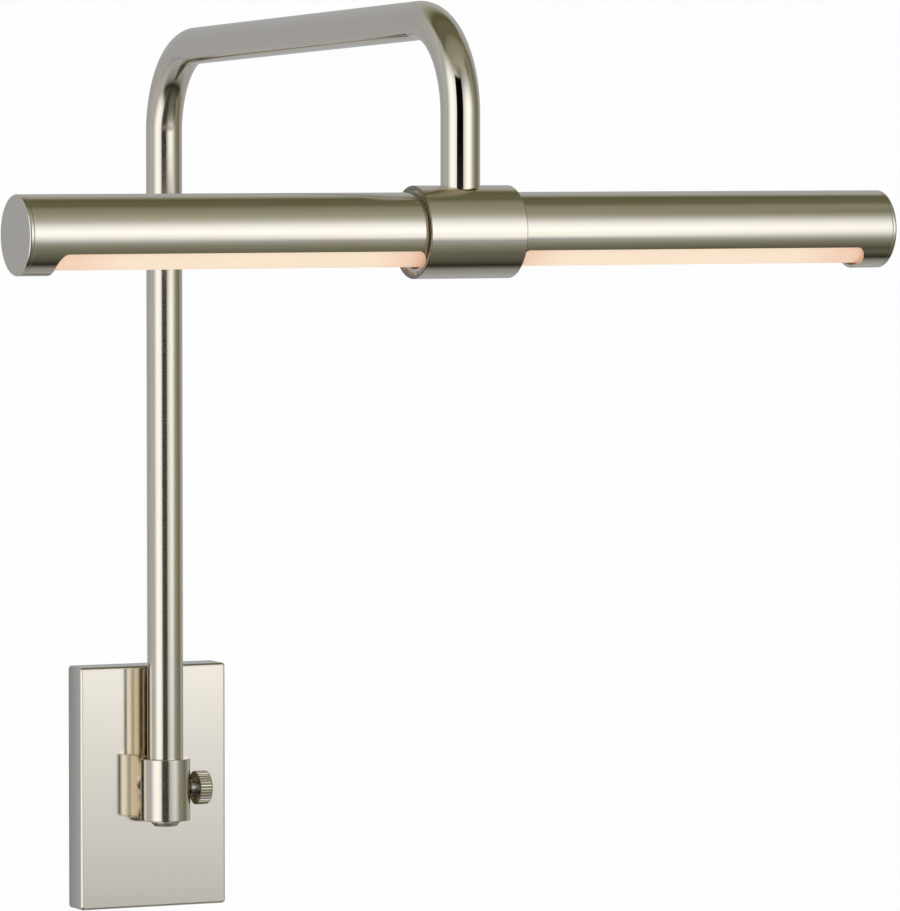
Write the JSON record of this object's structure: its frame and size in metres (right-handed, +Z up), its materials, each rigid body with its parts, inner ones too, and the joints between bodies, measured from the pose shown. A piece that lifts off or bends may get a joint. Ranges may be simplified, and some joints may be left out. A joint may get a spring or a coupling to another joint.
{
  "type": "picture light",
  "caption": "Wall-mounted picture light: a tubular lamp head held in a collar on a bent tube arm, clamped in a hub on a rectangular wall plate.",
  "frame": {"origin": "centre of the wall plate's back, on the wall plane, midway between the two box-screw slots", "axes": "+Z up, +X along the lamp head to the right as seen from in front, +Y into the wall; the light stands out towards -Y"},
  "size_m": [0.381, 0.3501, 0.3976],
  "materials": {
    "polished_nickel": "polished, warm nickel plate",
    "zinc_steel": "bright zinc plate",
    "nylon": "natural nylon",
    "brass": "turned brass",
    "frosted_acrylic": "frosted, lit from inside",
    "aluminium": "extruded, natural",
    "white_circuit_board": "white solder mask",
    "led": "phosphor yellow",
    "green_circuit_board": "green solder mask",
    "black_component": "moulded black",
    "white_nylon": "moulded",
    "orange_plastic": "moulded",
    "earth_green": "green",
    "black_insulation": "soft, satin",
    "white_insulation": "soft, satin"
  },
  "bodies": {
    "wall": {"arm_hub": "polished_nickel", "bush_clip": "zinc_steel", "ground_lead": "earth_green", "ground_lug": "zinc_steel", "ground_screw": "earth_green", "hollow_stem": "brass", "locating_pin": "zinc_steel", "mounting_strap": "zinc_steel", "plate_set_screw": "zinc_steel", "stem_nut": "zinc_steel", "stem_washer": "zinc_steel", "supply_lead_live": "black_insulation", "supply_lead_neutral": "white_insulation", "wall_plate": "polished_nickel", "wire_connectors": "orange_plastic"},
    "bush": {"arm_bush": "nylon"},
    "arm": {"arm_tube": "polished_nickel", "end_plug": "polished_nickel", "collar": "polished_nickel", "collar_liner_left": "nylon", "collar_liner_right": "nylon", "arm_insert": "brass", "guide_nipple": "brass", "arm_lead_live": "black_insulation", "arm_lead_neutral": "white_insulation"},
    "shade": {"board_leads": "black_insulation", "board_links": "white_insulation", "board_screws": "zinc_steel", "diffuser_left": "frosted_acrylic", "diffuser_right": "frosted_acrylic", "driver_board": "green_circuit_board", "driver_feeds": "white_insulation", "driver_parts": "black_component", "end_cap_left": "polished_nickel", "end_cap_right": "polished_nickel", "heat_sink_left": "aluminium", "heat_sink_right": "aluminium", "led_board_left": "white_circuit_board", "led_board_right": "white_circuit_board", "leds_left": "led", "leds_right": "led", "shade_tube": "polished_nickel", "terminal_block": "white_nylon"},
    "clamp_pad": {"clamp_pad": "brass"},
    "thumbscrew": {"thumbscrew_shank": "brass", "thumbscrew_knob": "polished_nickel"}
  },
  "joints": [
    {"name": "arm_swivel", "type": "hinge", "parent": "wall", "child": "bush", "pos_m": [0, -0.0275, 0], "axis": [0, 0, 1], "range_deg": [-25, 25]},
    {"name": "arm_height", "type": "slide", "parent": "bush", "child": "arm", "axis": [0, 0, 1], "range_m": [-0.075, 0]},
    {"name": "shade_tilt", "type": "hinge", "parent": "arm", "child": "shade", "pos_m": [0, -0.3315, 0.251], "axis": [1, 0, 0], "range_deg": [-45, 45]},
    {"name": "thumbscrew_travel", "type": "slide", "parent": "wall", "child": "clamp_pad", "axis": [1, 0, 0], "range_m": [0, 0.0016]},
    {"name": "thumbscrew_turn", "type": "hinge", "parent": "clamp_pad", "child": "thumbscrew", "pos_m": [0, -0.0275, 0], "axis": [1, 0, 0], "range_deg": [0, 720]}
  ],
  "couplings": [
    {"joint": "thumbscrew_travel", "follows": "thumbscrew_turn", "m_per_rad": 0.00012732}
  ]
}
